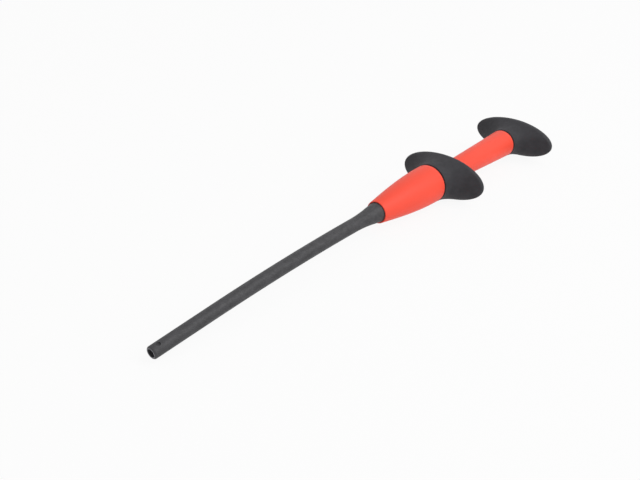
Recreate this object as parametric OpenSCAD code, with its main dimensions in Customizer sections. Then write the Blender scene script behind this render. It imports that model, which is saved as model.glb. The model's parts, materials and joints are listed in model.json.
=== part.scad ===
// Plunger test clip with a flexible shaft and sharp pincer jaws, lying on a table.
// X runs from the shaft's mouth to the thumb cap along the body's axis, Z is up.
// Stations along the body are distances behind the barrel's front edge.

/* [Shaft] */
// Length of the shaft in front of the barrel, along its bend
shaft_l = 114.2; // [95:0.1:140]
// How far the shaft has drooped at its mouth, in degrees
shaft_bend = 4.95; // [1:0.05:5.25]
// Straight stretch at the mouth that the jaws run in
tip_straight_l = 25; // [23:1:40]
// Outer diameter at the mouth
tip_d = 4.65; // [4.4:0.05:5.5]
// Outer diameter of the tube at the barrel, under the neck's cone
shaft_d = 5.65; // [5.2:0.05:6.4]
// Length of the neck's cone, which runs out into the tube over half as much again
flare_l = 9.8; // [6:0.1:14]
// Outer diameter of the neck at the barrel's front edge
neck_d = 8.2; // [7.8:0.1:8.4]
// Rounding of the mouth's outer edge
tip_round = 0.7; // [0.3:0.05:0.8]
// Bore that the jaws run in
jaw_bore_d = 3; // [2.9:0.05:3.3]
// Bore that the cable runs in
cable_bore_d = 2.6; // [2.2:0.05:2.7]
// Diameter of the dimple in the shaft's side
dimple_d = 1.5; // [0.8:0.05:1.8]
// Depth of the dimple
dimple_depth = 0.5; // [0.2:0.05:0.55]
// Distance of the dimple from the mouth
dimple_back = 3; // [2:0.1:8]
// How far the dimple is turned from the top, in degrees
dimple_turn = 15; // [0:5:90]

/* [Barrel] */
// Length of the barrel's outer shell
barrel_l = 36.1; // [34:0.1:44]
// Diameter of the front edge
barrel_front_d = 9.3; // [9.1:0.1:10]
// Diameter of the rear edge
barrel_rear_d = 16.4; // [16.2:0.1:18]
// Diameter of the tail inside the finger flange
tail_d = 14.4; // [14.2:0.1:14.6]
// Depth of the seat for the shaft's root
neck_seat_l = 12; // [10:0.5:14]
// Width of the groove round the neck, in the barrel's front edge
neck_groove_w = 0.2; // [0.1:0.05:0.25]
// Depth of the groove round the neck
neck_groove_l = 0.6; // [0.3:0.1:1.5]
// Diameter of the spring chamber
chamber_d = 11; // [10.8:0.1:11.4]
// Length of the collar on the shaft's root
root_collar_l = 3; // [2:0.25:4]
// Length of the ring behind the collar
retainer_l = 2.2; // [1.5:0.1:3]
// Hole through the retainer and the washer
rod_hole_d = 4; // [3.8:0.1:4.6]
// Thickness of the washer under the spring
washer_t = 0.6; // [0.4:0.1:1]
// Length of the guide bush
bush_l = 6.5; // [4:0.5:8]
// Outer diameter of the guide bush
bush_d = 13.2; // [12.4:0.1:13.8]

/* [Soft grips] */
// Width of the finger flange across its wings
flange_w = 40.2; // [34:0.2:46]
// Height of the finger flange
flange_h = 18.8; // [18.2:0.1:21]
// Diameter of the flange's front collar
flange_collar_d = 16.7; // [16.4:0.1:18]
// From the barrel's rear edge to the middle of the flange's rim
flange_reach = 11; // [9:0.1:14]
// Width of the thumb cap across its wings
cap_w = 39.8; // [34:0.2:46]
// Height of the thumb cap
cap_h = 16.6; // [16:0.1:20]
// Diameter of the cap's front collar
cap_collar_d = 12.7; // [12.4:0.1:14]
// From the plunger's rear shoulder to the middle of the cap's rim
cap_reach = 10.9; // [9:0.1:14]
// Thickness of both rims
rim_t = 2.7; // [2.4:0.1:4]
// Rise of the flange's rear face behind its rim
flange_crown = 0.9; // [0.8:0.1:2]
// Rise of the cap's rear face behind its rim
cap_crown = 2; // [1.2:0.1:3]
// How late the front faces flare out to the rim
flare_power = 2.2; // [1.6:0.1:3]
// Width of the grooves between hard and soft pieces
groove_w = 0.6; // [0.3:0.05:0.8]
// Depth of these grooves, down to the nose of the soft piece
groove_depth = 0.6; // [0.3:0.05:0.7]
// Width of the flange's rigid core across its wings
flange_core_w = 29; // [24:0.5:32]
// Width of the cap's rigid core across its wings
cap_core_w = 28; // [24:0.5:32]
// Thickness of both rigid cores
core_t = 1.4; // [1:0.1:1.8]
// Soft skin over the cores' long edges
core_skin = 1.1; // [1:0.05:1.3]

/* [Plunger] */
// Travel of the plunger
stroke = 12; // [8:0.5:12.5]
// From the barrel's rear edge to the plunger's rear shoulder
plunger_reach = 60.2; // [56:0.2:70]
// Diameter of the straight front stretch
plunger_front_d = 9; // [8.8:0.1:9.2]
// Diameter at the rear shoulder
plunger_rear_d = 12.4; // [12:0.05:13.4]
// Diameter of the tail inside the thumb cap
plunger_tail_d = 10.6; // [10.2:0.1:10.7]
// Bore for the spring
spring_bore_d = 6.6; // [6.4:0.1:6.9]
// Hole in the finger flange's rear wall
flange_hole_d = 10.4; // [10.2:0.1:11]
// Length of the stop ring on the front end
stop_l = 3; // [2:0.25:4]
// Outer diameter of the stop ring
stop_d = 10.4; // [10:0.1:10.5]
// Length of the bush that centres the rod
rod_guide_l = 3; // [2:0.25:5]

/* [Spring and cable] */
// Fitted length of the return spring
spring_l = 30; // [26:0.5:34]
// Outer diameter of the spring
spring_d = 5.6; // [5:0.1:5.9]
// Diameter of the spring's wire
spring_wire_d = 0.7; // [0.5:0.05:0.8]
// Turns of the spring
spring_turns = 11; // [8:1:14]
// Diameter of the drive rod
rod_d = 2; // [1.6:0.1:2.2]
// Diameter of the drive cable
cable_d = 1.5; // [1.2:0.05:1.7]
// Outer diameter of the crimp
crimp_d = 3.2; // [2.8:0.1:3.3]
// Length of the crimp
crimp_l = 8; // [6:0.5:9]

/* [Socket] */
// Bore of the contact sleeve
socket_d = 4; // [3.9:0.05:4.1]
// Depth of the contact sleeve's bore
socket_depth = 18.3; // [15:0.1:22]
// Wall of the contact sleeve
contact_wall = 0.6; // [0.4:0.05:0.8]
// Wall of the insulating post
post_wall = 0.6; // [0.4:0.05:0.7]
// Diameter of the well round the post
well_d = 8.8; // [8.6:0.05:9]
// Diameter of the contact's collar
contact_collar_d = 7.8; // [7.2:0.1:8.2]
// Length of the contact's collar
contact_collar_l = 1.5; // [1:0.1:3]
// Length of the wall that carries the contact
web_l = 6; // [4:0.5:9]
// Diameter of the contact's tail
contact_tail_d = 4; // [3.6:0.1:4.2]
// Length of the contact nut
nut_l = 3; // [2:0.25:4]
// Width of the contact nut across its corners
nut_d = 6.2; // [5.8:0.1:6.3]

/* [Jaws] */
// Length of a jaw in front of its pivot
jaw_l = 13; // [11:0.25:13.5]
// How far the closed jaws lie inside the mouth
jaw_recess = 1; // [0.6:0.1:2]
// Width of a jaw
jaw_w = 0.9; // [0.6:0.05:1]
// Thickness of a jaw
jaw_t = 0.54; // [0.4:0.02:0.56]
// Gap between the closed jaws
jaw_gap = 0.16; // [0.1:0.02:0.2]
// Diameter of the ferrule
ferrule_d = 2.6; // [2.5:0.05:2.7]
// Length of the ferrule
ferrule_l = 7; // [6:0.25:8]

/* [Fits] */
// Radial clearance of pieces that are pressed together
seat_gap = 0.02; // [0.01:0.01:0.04]
// Radial clearance of the plunger in its guide bush
run_gap = 0.05; // [0.03:0.01:0.1]
// Clearance at the plunger's front and rear stops
stop_gap = 0.2; // [0.15:0.05:0.4]

/* [Hidden] */
$fn = 64;

red = "#f4583f";
soft_black = "#3b3b3d";
tube_grey = "#4b4b4d";
ivory = "#d8d4c6";
brass = "#c2a15a";
steel = "#b8bbbf";
cut = 0.1;

// Stations of the pieces in the barrel
retainer_front = neck_seat_l + root_collar_l;
washer_front = retainer_front + retainer_l;
washer_rear = washer_front + washer_t;
stop_front = washer_rear + stop_gap + stroke;
stop_rear = stop_front + stop_l;
bush_front = stop_rear + stop_gap;
bush_rear = bush_front + bush_l;

// Stations of the grips
flange_rim = barrel_l + flange_reach;
flange_front = barrel_l + groove_w;
tail_end = flange_rim + core_t;
shoulder = barrel_l + plunger_reach;
cap_front = shoulder + groove_w;
cap_rim = shoulder + cap_reach;
cap_tail_end = cap_rim + core_t;
flange_rear = flange_rim + rim_t / 2 + flange_crown;
cap_rear = cap_rim + rim_t / 2 + cap_crown;

// Stations of the pieces in the plunger
straight_end = bush_rear + stroke + stop_gap;
guide_front = washer_rear + spring_l;
contact_mouth = cap_tail_end - stop_gap;
socket_floor = contact_mouth - socket_depth;
floor_t = 1;
collar_rear = socket_floor - floor_t;
web_rear = collar_rear - contact_collar_l;
web_front = web_rear - web_l;
nut_front = web_front - nut_l;
tail_past_nut = 1.5;
contact_front = nut_front - tail_past_nut;
rod_depth = 6;
rod_rear = contact_front + rod_depth;
crimp_middle = neck_seat_l;
crimp_front = crimp_middle - crimp_l / 2;
crimp_room = 1;
root_bore_front = crimp_front - stroke - crimp_room;
root_bore_d = crimp_d + 2 * stop_gap + 2 * run_gap;

// Course of the shaft, and how far past its cone's length the neck's flare runs out
flare_run = 1.5;
bend_l = shaft_l - tip_straight_l;
bend_r = bend_l / (shaft_bend * PI / 180);
mouth_x = -bend_r * sin(shaft_bend) - tip_straight_l * cos(shaft_bend);
mouth_z = -bend_r * (1 - cos(shaft_bend)) - tip_straight_l * sin(shaft_bend);
mouth_reach = -mouth_x + (tip_d / 2 - tip_round) * sin(shaft_bend);

// Stations of the jaws, behind the mouth
pivot_back = jaw_recess + jaw_l;
pivot_up = jaw_gap / 2 + jaw_t / 2;
ferrule_front = pivot_back - 1;
ferrule_rear = ferrule_front + ferrule_l;
cable_grip_l = 4;
cable_end = ferrule_rear - cable_grip_l;
slot_room = 0.07;

// Place of the body in the frame
axis_z = flange_h / 2;
front_x = (mouth_reach - cap_rear) / 2;

// Facets of the swept and lofted pieces
tube_sides = 24;
bore_sides = 16;
cable_sides = 8;
wire_sides = 6;
wire_steps = 12;
grip_sides = 48;
shaft_steps = 20;
flare_steps = 8;
round_steps = 4;
face_steps = 9;
rim_steps = 6;
crown_steps = 3;

// Direction of the shaft, in degrees below the body's axis, at a distance in front of the barrel
function course_turn(l) = l <= 0 ? 0 : shaft_bend * min(l, bend_l) / bend_l;

// Centre of the shaft at a distance in front of the barrel
function course(l) =
    l <= 0 ? [-l, 0, 0]
    : let (turn = course_turn(l), past = max(0, l - bend_l))
        [-bend_r * sin(turn) - past * cos(turn), 0, -bend_r * (1 - cos(turn)) - past * sin(turn)];

// Ring of points round the shaft's course, in the order that suits rings set towards the mouth
function course_ring(l, r, sides) =
    let (centre = course(l), turn = course_turn(l))
    [for (i = [0 : sides - 1])
        let (a = -360 * i / sides)
        centre + r * [-sin(turn) * sin(a), cos(a), cos(turn) * sin(a)]];

// Oval ring of points across the body's axis
function oval_ring(s, half_w, half_h, sides) =
    [for (i = [0 : sides - 1])
        let (a = 360 * i / sides)
        [s, half_w * cos(a), half_h * sin(a)]];

// Share of the neck's extra radius at a share of its cone's length: straight at first, then a parabola
function flare_share(t) =
    t < 2 - flare_run ? 1 - t : pow(max(0, flare_run - t), 2) / (4 * (flare_run - 1));

// Outer radius of the shaft at a distance in front of the barrel
function tube_r(l) = shaft_d / 2 + (tip_d - shaft_d) / 2 * l / shaft_l
    + (neck_d - shaft_d) / 2 * flare_share(l / flare_l);

// Outer radius of the barrel, an ogive from its front to its rear edge
function barrel_r(s) =
    barrel_front_d / 2 + (barrel_rear_d - barrel_front_d) / 2 * sin(90 * s / barrel_l);

// Outer radius of the plunger on its tapered stretch
function plunger_r(s) = plunger_front_d / 2
    + (plunger_rear_d - plunger_front_d) / 2 * (s - straight_end) / (shoulder - straight_end);

// Closed skin over a row of rings that all have the same number of points
module skin(rings) {
    sides = len(rings[0]);
    last = len(rings) - 1;
    polyhedron(
        points = [for (ring = rings) each ring],
        faces = [
            [for (i = [0 : sides - 1]) i],
            for (k = [0 : last - 1])
                for (i = [0 : sides - 1])
                    let (j = (i + 1) % sides, a = k * sides, b = a + sides)
                    each [[a + i, b + i, b + j], [a + i, b + j, a + j]],
            [for (i = [sides - 1 : -1 : 0]) last * sides + i]
        ]);
}

// Solid turned round the body's axis from points of radius and station
module turned(points) {
    rotate([0, 90, 0]) rotate_extrude() polygon(points);
}

// Round ring or rod between two stations
module sleeve(front, rear, outer_d, inner_d = 0) {
    turned([[inner_d / 2, front], [outer_d / 2, front], [outer_d / 2, rear], [inner_d / 2, rear]]);
}

// Children set out along the body's axis
module on_body() {
    translate([front_x, 0, axis_z]) children();
}

// Children set out behind the shaft's mouth, along its last stretch
module at_mouth() {
    on_body() translate([mouth_x, 0, mouth_z]) rotate([0, -shaft_bend, 0]) children();
}

module shaft_skin() {
    neck_r = neck_d / 2;
    collar_r = chamber_d / 2 - seat_gap;
    root = [
        [-retainer_front, collar_r],
        [-neck_seat_l, collar_r],
        [-neck_seat_l, neck_r]
    ];
    flare_end = flare_run * flare_l;
    flare = [for (i = [0 : flare_steps])
        let (l = flare_end * i / flare_steps)
        [l, tube_r(l)]];
    tube_end = shaft_l - tip_round;
    tube = [for (i = [1 : shaft_steps])
        let (l = flare_end + (tube_end - flare_end) * i / shaft_steps)
        [l, tube_r(l)]];
    edge = [for (i = [1 : round_steps])
        let (a = 90 * i / round_steps)
        [tube_end + tip_round * sin(a), tube_r(tube_end) - tip_round * (1 - cos(a))]];
    skin([for (p = concat(root, flare, tube, edge)) course_ring(p[0], p[1], tube_sides)]);
}

module shaft_bore() {
    start = root_bore_front + cut;
    end = bend_l + cut;
    skin([for (i = [0 : shaft_steps])
        course_ring(-start + (end + start) * i / shaft_steps, cable_bore_d / 2, bore_sides)]);
}

module shaft() {
    color(tube_grey) difference() {
        on_body() shaft_skin();
        on_body() shaft_bore();
        on_body() sleeve(root_bore_front, retainer_front + cut, root_bore_d);
        at_mouth() sleeve(-cut, tip_straight_l, jaw_bore_d);
        at_mouth() translate([dimple_back, 0, 0]) rotate([dimple_turn, 0, 0])
            translate([0, 0, tip_d / 2 - dimple_depth]) cylinder(h = tip_d, d = dimple_d);
    }
}

module barrel() {
    steps = 14;
    shell = [for (i = [0 : steps]) [barrel_r(barrel_l * i / steps), barrel_l * i / steps]];
    neck_seat_r = neck_d / 2 + seat_gap;
    bush_seat_r = bush_d / 2 + seat_gap;
    color(red) on_body() turned(concat(
        [
            [neck_seat_r, neck_groove_l],
            [neck_seat_r + neck_groove_w, neck_groove_l],
            [neck_seat_r + neck_groove_w, 0]
        ],
        shell,
        [
            [tail_d / 2, barrel_l],
            [tail_d / 2, tail_end],
            [bush_seat_r, tail_end],
            [bush_seat_r, bush_front],
            [chamber_d / 2, bush_front],
            [chamber_d / 2, neck_seat_l],
            [neck_seat_r, neck_seat_l]
        ]));
}

// Soft grip: a short nose, then a round collar that flares to an oval rim, with a low crown behind
module grip_skin(front, rim, rear, nose_d, collar_d, width, height, rear_d) {
    h = rim_t / 2;
    nose = [for (s = [front - groove_w + seat_gap, front]) [s, nose_d / 2, nose_d / 2]];
    face_end = rim - h * cos(45);
    inset = h * (1 - sin(45));
    face = [for (i = [0 : face_steps])
        let (t = i / face_steps, w = pow(t, flare_power))
        [front + (face_end - front) * t,
            collar_d / 2 + (width / 2 - inset - collar_d / 2) * w,
            collar_d / 2 + (height / 2 - inset - collar_d / 2) * w]];
    edge = [for (i = [1 : rim_steps])
        let (a = -45 + 135 * i / rim_steps)
        [rim + h * sin(a), width / 2 - h + h * cos(a), height / 2 - h + h * cos(a)]];
    crown = [for (i = [1 : crown_steps])
        let (t = i / crown_steps)
        [rim + h + (rear - rim - h) * sin(90 * t),
            width / 2 - h + (rear_d / 2 - width / 2 + h) * t,
            height / 2 - h + (rear_d / 2 - height / 2 + h) * t]];
    skin([for (p = concat(nose, face, edge, crown)) oval_ring(p[0], p[1], p[2], grip_sides)]);
}

// Rigid plate with round ends that stands across the body's axis
module core_plate(middle, width, height) {
    end_offset = (width - height) / 2;
    translate([middle - core_t / 2, 0, 0]) rotate([90, 0, 90]) linear_extrude(core_t) union() {
        square([2 * end_offset, height], center = true);
        for (side = [-1, 1]) translate([side * end_offset, 0]) circle(d = height);
    }
}

module flange_plate() {
    core_plate(flange_rim, flange_core_w, flange_h - 2 * core_skin);
}

module cap_plate() {
    core_plate(cap_rim, cap_core_w, cap_h - 2 * core_skin);
}

module finger_flange() {
    nose_d = barrel_rear_d - 2 * groove_depth;
    rear_d = flange_hole_d + rim_t;
    color(soft_black) on_body() difference() {
        grip_skin(flange_front, flange_rim, flange_rear, nose_d, flange_collar_d, flange_w, flange_h, rear_d);
        sleeve(barrel_l, tail_end, tail_d + 2 * seat_gap);
        sleeve(tail_end - cut, flange_rear + cut, flange_hole_d);
        flange_plate();
    }
}

module flange_core() {
    color(red) on_body() difference() {
        flange_plate();
        sleeve(flange_front, flange_rear, tail_d + 2 * seat_gap);
    }
}

module shaft_retainer() {
    color(ivory) on_body() sleeve(retainer_front, washer_front, chamber_d - 2 * seat_gap, rod_hole_d);
}

module spring_washer() {
    color(steel) on_body() sleeve(washer_front, washer_rear, chamber_d - 2 * seat_gap, rod_hole_d);
}

module return_spring() {
    wire_r = spring_wire_d / 2;
    coil_r = spring_d / 2 - wire_r;
    start = washer_rear + wire_r + run_gap;
    end = guide_front - wire_r - run_gap;
    count = spring_turns * wire_steps;
    color(steel) on_body() skin([for (k = [0 : count])
        let (turn = 360 * k / wire_steps, s = start + (end - start) * k / count)
        [for (i = [0 : wire_sides - 1])
            let (a = 360 * i / wire_sides, r = coil_r + wire_r * cos(a))
            [s + wire_r * sin(a), r * cos(turn), r * sin(turn)]]]);
}

module guide_bush() {
    color(ivory) on_body() sleeve(bush_front, bush_rear, bush_d, plunger_front_d + 2 * run_gap);
}

module plunger() {
    front_r = plunger_front_d / 2;
    color(red) on_body() turned([
        [spring_bore_d / 2, stop_front],
        [front_r, stop_front],
        [front_r, straight_end],
        [plunger_rear_d / 2, shoulder],
        [plunger_tail_d / 2, shoulder],
        [plunger_tail_d / 2, cap_tail_end],
        [well_d / 2, cap_tail_end],
        [well_d / 2, web_rear],
        [contact_tail_d / 2 + seat_gap, web_rear],
        [contact_tail_d / 2 + seat_gap, web_front],
        [spring_bore_d / 2, web_front]
    ]);
}

module plunger_stop() {
    color(ivory) on_body() sleeve(stop_front, stop_rear, stop_d, plunger_front_d + 2 * seat_gap);
}

module rod_guide() {
    color(ivory) on_body()
        sleeve(guide_front, guide_front + rod_guide_l, spring_bore_d - 2 * seat_gap, rod_d + 2 * seat_gap);
}

module thumb_cap() {
    nose_d = plunger_rear_d - 2 * groove_depth;
    rear_d = well_d + rim_t;
    color(soft_black) on_body() difference() {
        grip_skin(cap_front, cap_rim, cap_rear, nose_d, cap_collar_d, cap_w, cap_h, rear_d);
        sleeve(shoulder, cap_tail_end, plunger_tail_d + 2 * seat_gap);
        sleeve(cap_tail_end - cut, cap_rear + cut, well_d);
        cap_plate();
    }
}

module cap_core() {
    color(red) on_body() difference() {
        cap_plate();
        sleeve(cap_front, cap_rear, plunger_tail_d + 2 * seat_gap);
    }
}

module socket_contact() {
    sleeve_r = socket_d / 2 + contact_wall;
    rod_r = rod_d / 2 + seat_gap;
    color(brass) on_body() turned([
        [rod_r, contact_front],
        [contact_tail_d / 2, contact_front],
        [contact_tail_d / 2, web_rear],
        [contact_collar_d / 2, web_rear],
        [contact_collar_d / 2, collar_rear],
        [sleeve_r, collar_rear],
        [sleeve_r, contact_mouth],
        [socket_d / 2, contact_mouth],
        [socket_d / 2, socket_floor],
        [0, socket_floor],
        [0, rod_rear + seat_gap],
        [rod_r, rod_rear + seat_gap]
    ]);
}

module socket_insulator() {
    inner_r = socket_d / 2 + contact_wall + seat_gap;
    lip_l = 0.6;
    color(soft_black) on_body() turned([
        [inner_r, collar_rear],
        [inner_r + post_wall, collar_rear],
        [inner_r + post_wall, contact_mouth + lip_l],
        [socket_d / 2 + run_gap, contact_mouth + lip_l],
        [socket_d / 2 + run_gap, contact_mouth],
        [inner_r, contact_mouth]
    ]);
}

module contact_nut() {
    color(brass) on_body() difference() {
        translate([nut_front, 0, 0]) rotate([0, 90, 0]) cylinder(h = nut_l, d = nut_d, $fn = 6);
        sleeve(nut_front - cut, web_front + cut, contact_tail_d + 2 * seat_gap);
    }
}

module drive_rod() {
    color(steel) on_body() sleeve(crimp_middle, rod_rear, rod_d);
}

module rod_crimp() {
    rod_r = rod_d / 2 + seat_gap;
    cable_r = cable_d / 2 + seat_gap;
    color(brass) on_body() turned([
        [cable_r, crimp_front],
        [crimp_d / 2, crimp_front],
        [crimp_d / 2, crimp_front + crimp_l],
        [rod_r, crimp_front + crimp_l],
        [rod_r, crimp_middle],
        [cable_r, crimp_middle]
    ]);
}

module drive_cable() {
    end = shaft_l - cable_end;
    color(steel) on_body() skin([for (i = [0 : shaft_steps])
        course_ring(-crimp_middle + (end + crimp_middle) * i / shaft_steps, cable_d / 2, cable_sides)]);
}

module jaw_ferrule() {
    slot_h = 2 * (jaw_gap / 2 + jaw_t + slot_room) + jaw_t;
    slot_back = pivot_back + jaw_t;
    color(brass) at_mouth() difference() {
        sleeve(ferrule_front, ferrule_rear, ferrule_d);
        sleeve(cable_end, ferrule_rear + cut, cable_d + 2 * seat_gap);
        translate([ferrule_front - cut, -jaw_w / 2 - slot_room, -slot_h / 2])
            cube([slot_back - ferrule_front + cut, jaw_w + 2 * slot_room, slot_h]);
    }
}

// One jaw above the shaft's axis, its eye on the pivot and its claw bent in to a sharp point
module jaw() {
    low = jaw_gap / 2;
    high = low + jaw_t;
    claw = jaw_recess;
    claw_l = 2.2;
    nip_l = 0.6;
    nip_rise = 0.22;
    bulge = 0.1;
    rotate([90, 0, 0]) linear_extrude(jaw_w, center = true) union() {
        translate([pivot_back, pivot_up]) circle(d = jaw_t);
        polygon([
            [pivot_back, low],
            [pivot_back, high],
            [claw + claw_l, high],
            [claw + claw_l / 2, high + bulge],
            [claw + nip_l / 2, high - jaw_t / 3],
            [claw, low / 2],
            [claw + nip_l, low + nip_rise],
            [claw + claw_l - nip_l, low + nip_rise],
            [claw + claw_l, low]
        ]);
    }
}

module upper_jaw() {
    color(steel) at_mouth() jaw();
}

module lower_jaw() {
    color(steel) at_mouth() mirror([0, 0, 1]) jaw();
}

shaft();
barrel();
finger_flange();
flange_core();
shaft_retainer();
spring_washer();
return_spring();
guide_bush();
plunger();
plunger_stop();
rod_guide();
thumb_cap();
cap_core();
socket_contact();
socket_insulator();
contact_nut();
drive_rod();
rod_crimp();
drive_cable();
jaw_ferrule();
upper_jaw();
lower_jaw();
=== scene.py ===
"""Looks of a plunger test clip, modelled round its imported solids.

Stations are distances behind the barrel's front edge, along the body's level axis.
The shaft's course starts there too and droops towards the mouth.
"""

import json
import math
from collections import namedtuple

import bpy
from mathutils import Matrix, Vector


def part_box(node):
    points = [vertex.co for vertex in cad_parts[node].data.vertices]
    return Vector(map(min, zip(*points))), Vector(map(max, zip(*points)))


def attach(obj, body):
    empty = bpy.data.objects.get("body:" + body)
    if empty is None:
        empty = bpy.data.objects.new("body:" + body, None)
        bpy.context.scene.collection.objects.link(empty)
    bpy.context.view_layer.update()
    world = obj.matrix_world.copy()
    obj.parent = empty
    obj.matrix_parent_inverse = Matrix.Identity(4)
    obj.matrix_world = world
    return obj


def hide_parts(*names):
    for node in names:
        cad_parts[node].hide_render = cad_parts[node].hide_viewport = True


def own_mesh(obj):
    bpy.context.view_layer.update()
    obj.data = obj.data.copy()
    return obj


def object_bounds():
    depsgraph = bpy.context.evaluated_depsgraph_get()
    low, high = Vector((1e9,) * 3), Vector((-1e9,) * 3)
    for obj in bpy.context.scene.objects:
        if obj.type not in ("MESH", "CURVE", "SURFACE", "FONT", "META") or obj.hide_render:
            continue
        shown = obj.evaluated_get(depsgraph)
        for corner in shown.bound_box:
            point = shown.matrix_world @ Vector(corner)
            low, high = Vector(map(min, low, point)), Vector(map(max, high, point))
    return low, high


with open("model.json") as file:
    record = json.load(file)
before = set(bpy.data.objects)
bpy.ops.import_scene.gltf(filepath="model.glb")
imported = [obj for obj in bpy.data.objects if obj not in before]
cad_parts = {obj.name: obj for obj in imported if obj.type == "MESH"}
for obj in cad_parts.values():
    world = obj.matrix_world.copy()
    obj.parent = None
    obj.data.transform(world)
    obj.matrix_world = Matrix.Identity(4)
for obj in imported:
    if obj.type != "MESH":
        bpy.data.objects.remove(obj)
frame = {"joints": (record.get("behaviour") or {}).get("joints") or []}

bl_info = {
    "name": "Plunger test clip",
    "version": (1, 0, 0),
    "blender": (4, 5, 0),
    "location": "View3D > Sidebar > Test clip",
    "description": "Models the pieces of a plunger test clip and the stage it is shown on",
    "category": "Object",
}

MM = 0.001
CAD_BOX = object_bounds()
JOINTS = {joint["name"]: joint for joint in frame["joints"]}

FRONT_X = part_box("barrel")[0].x
AXIS_Z = sum(corner.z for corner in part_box("plunger")) / 2
STROKE = JOINTS["plunger_slide"]["range_m"][1]
MOUTH_WARD = Vector(JOINTS["jaw_slide"]["axis"])
SHAFT_BEND = math.atan2(-MOUTH_WARD.z, -MOUTH_WARD.x)
QUARTER = math.pi / 2

# Sides of a fine visible ring, a plain ring, a hexagon and a square, and steps round a rounded corner
FINE_SIDES = 128
PLAIN_SIDES = 64
HEXAGON = 6
SQUARE = 4
CORNER_STEPS = 5

# Angle past which an edge is a sharp one
CREASE = math.radians(32)

# Values that most of a noise lies between, and the scale at which a wave's bands are about one unit apart
NOISE_LOW = 0.3
NOISE_HIGH = 0.7
WAVE_SCALE = 0.31

WHITE = (1.0, 1.0, 1.0, 1.0)

Ring = namedtuple("Ring", "centre half_w half_h lean")


# Settings

def measure(label, note, millimetres):
    """A length that a user can set, with its default in millimetres."""
    return bpy.props.FloatProperty(
        name=label, description=note, default=millimetres * MM, min=0.0, precision=5, unit="LENGTH")


def angle(label, note, degrees):
    """An angle that a user can set, with its default in degrees."""
    return bpy.props.FloatProperty(
        name=label, description=note, default=math.radians(degrees), precision=3, subtype="ANGLE")


def amount(label, note, default):
    """A plain number that a user can set."""
    return bpy.props.FloatProperty(name=label, description=note, default=default, min=0.0, precision=3)


def colour(label, note, *default):
    """A colour that a user can set, in linear light."""
    return bpy.props.FloatVectorProperty(
        name=label, description=note, default=default, min=0.0, max=1.0, subtype="COLOR")


def position(label, note, *default):
    """A point that a user can set, in metres."""
    return bpy.props.FloatVectorProperty(
        name=label, description=note, default=default, subtype="TRANSLATION")


class ShaftSizes(bpy.types.PropertyGroup):
    """Sizes of the flexible shaft."""

    length: measure("Length", "Length in front of the barrel, along the bend", 114.2)
    straight: measure("Straight", "Straight stretch at the mouth", 25)
    mouth_d: measure("Mouth", "Outer diameter at the mouth", 4.65)
    tube_d: measure("Tube", "Outer diameter at the barrel, under the neck's cone", 5.65)
    flare: measure("Flare", "Length of the neck's cone", 9.8)
    flare_run: amount("Flare run", "Where the neck runs out, in lengths of its cone", 1.5)
    neck_d: measure("Neck", "Outer diameter of the neck at the barrel", 8.2)
    mouth_round: measure("Mouth rounding", "Rounding of the mouth's outer edge", 0.7)
    lip_round: measure("Lip rounding", "Rounding of the mouth's inner edge", 0.12)
    # How far out from the bore the painted highlight on the mouth's lip reaches
    lip_rub: measure("Lip rub", "How far out from the bore the mouth's lip is rubbed pale", 0.6)
    jaw_bore_d: measure("Jaw bore", "Bore that the jaws run in", 3)
    cable_bore_d: measure("Cable bore", "Bore that the cable runs in", 2.6)
    root_bore_d: measure("Root bore", "Bore that the crimp runs in", 3.7)
    root_bore: measure("Root bore length", "From the barrel's front edge to the root bore's front end", 5)
    root_collar: measure("Root collar", "Length of the collar that holds the root", 3)
    dimple_d: measure("Dimple", "Diameter of the dimple in the side", 1.5)
    dimple_depth: measure("Dimple depth", "Depth of the dimple", 0.5)
    dimple_back: measure("Dimple place", "Distance of the dimple from the mouth", 3)
    dimple_turn: angle("Dimple turn", "Turn of the dimple from the top", 15)


class BodySizes(bpy.types.PropertyGroup):
    """Sizes of the barrel and the plunger."""

    groove: measure("Groove", "Gap between hard and soft pieces", 0.6)
    groove_depth: measure("Groove depth", "Depth of that gap, down to the soft piece's nose", 0.6)
    neck_groove_w: measure("Neck groove", "Width of the groove round the neck", 0.2)
    neck_groove: measure("Neck groove depth", "Depth of the groove round the neck", 0.6)
    edge: measure("Edge", "Rounding of the outer edges", 0.25)
    fit: measure("Fit", "Clearance of pressed pieces", 0.02)
    barrel_front_d: measure("Barrel front", "Diameter of the barrel's front edge", 9.3)
    tail_d: measure("Barrel tail", "Diameter of the tail inside the finger flange", 14.4)
    neck_seat: measure("Neck seat", "Depth of the seat for the shaft", 12)
    chamber_d: measure("Chamber", "Diameter of the spring chamber", 11)
    plunger_front_d: measure("Plunger front", "Diameter of the straight front stretch", 9)
    plunger_tail_d: measure("Plunger tail", "Diameter of the tail inside the thumb cap", 10.6)
    spring_bore_d: measure("Spring bore", "Bore in the plunger for the spring", 6.6)
    well_d: measure("Well", "Diameter of the well round the socket's post", 8.8)
    web: measure("Web", "Length of the wall that carries the contact", 6)


class GripSizes(bpy.types.PropertyGroup):
    """Sizes of the finger flange and the thumb cap."""

    rim: measure("Rim", "Thickness of both rims", 2.7)
    flare_power: amount("Flare", "How late the front faces flare out to the rim", 2.2)
    rear_fullness: amount("Fullness", "How full the rear faces are, 2 for an ellipse", 2.5)
    edge: measure("Edge", "Rounding of the collars and the rear holes", 0.35)
    flange_collar_d: measure("Flange collar", "Diameter of the finger flange's collar", 16.7)
    flange_crown: measure("Flange crown", "Rise of the finger flange's rear face", 0.9)
    flange_hole_d: measure("Flange hole", "Hole for the plunger in the finger flange", 10.4)
    cap_collar_d: measure("Cap collar", "Diameter of the thumb cap's collar", 12.7)
    cap_crown: measure("Cap crown", "Rise of the thumb cap's rear face", 2)


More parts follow.
